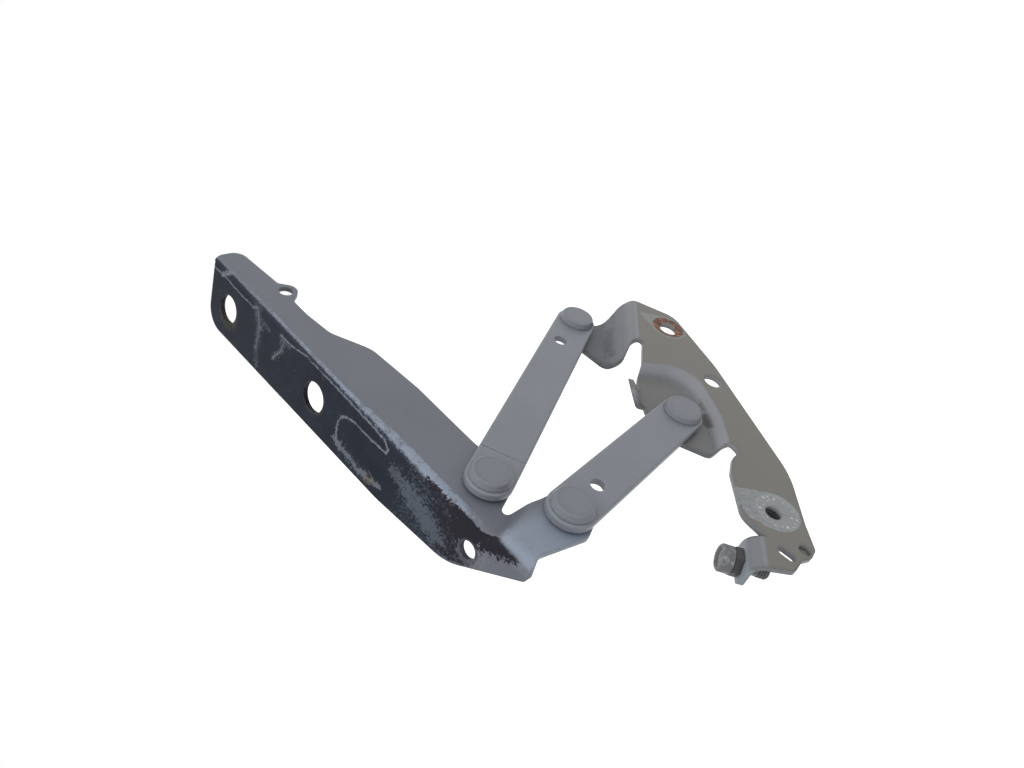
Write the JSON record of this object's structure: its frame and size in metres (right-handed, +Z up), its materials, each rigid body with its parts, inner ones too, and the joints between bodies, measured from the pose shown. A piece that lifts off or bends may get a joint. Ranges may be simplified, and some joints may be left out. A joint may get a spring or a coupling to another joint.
{
  "type": "bonnet hinge",
  "caption": "Four-bar bonnet hinge: L-section arm with bonnet bolt holes, two riveted links and a stepped bracket that bolts to the body, with a stop bolt.",
  "frame": {"origin": "centre of the front body bolt hole, on the face that its bolt head sits on", "axes": "+X forward along the line through the two body bolts, +Y through the plate from the bolt head toward the body, +Z up, toward the bonnet flange"},
  "size_m": [0.2398, 0.0599, 0.3067],
  "materials": {
    "bracket_paint": "dull grey-olive paint over pressed steel",
    "arm_paint": "grey web and dark navy flange, worn",
    "link_paint": "satin grey, rims worn bright",
    "rivet_paint": "satin grey",
    "bush_metal": "dull",
    "bolt_metal": "dull zinc"
  },
  "bodies": {
    "bracket": {"body_bracket": "bracket_paint", "rivet_bracket_long": "rivet_paint", "washer_bracket_long": "bush_metal", "rivet_bracket_short": "rivet_paint", "washer_bracket_short": "bush_metal", "stop_bolt": "bolt_metal", "stop_lock_nut": "bolt_metal", "rear_weld_nut": "bolt_metal"},
    "long_link": {"long_link": "link_paint", "bush_arm_long": "bush_metal", "bush_bracket_long": "bush_metal"},
    "arm": {"bonnet_arm": "arm_paint", "rivet_arm_long": "rivet_paint", "washer_arm_long": "bush_metal", "rivet_arm_short": "rivet_paint", "bush_arm_short": "bush_metal", "washer_arm_short": "bush_metal"},
    "short_link": {"short_link": "link_paint", "bush_bracket_short": "bush_metal"}
  },
  "joints": [
    {"name": "long_link_pivot", "type": "hinge", "parent": "bracket", "child": "long_link", "pos_m": [0.0124, 0.01, 0.0587], "axis": [0, -1, 0], "range_deg": [-3.8, 22.8]},
    {"name": "arm_pivot", "type": "hinge", "parent": "long_link", "child": "arm", "pos_m": [-0.1305, 0.01, 0.1427], "axis": [0, -1, 0], "range_deg": [-48.8, 8.2]},
    {"name": "short_link_pivot", "type": "hinge", "parent": "bracket", "child": "short_link", "pos_m": [-0.0824, 0.01, 0.0227], "axis": [0, -1, 0], "range_deg": [-5.1, 30.1]}
  ],
  "couplings": [
    {"joint": "arm_pivot", "follows": "long_link_pivot", "ratio": -2.1365},
    {"joint": "short_link_pivot", "follows": "long_link_pivot", "ratio": 1.3165}
  ]
}
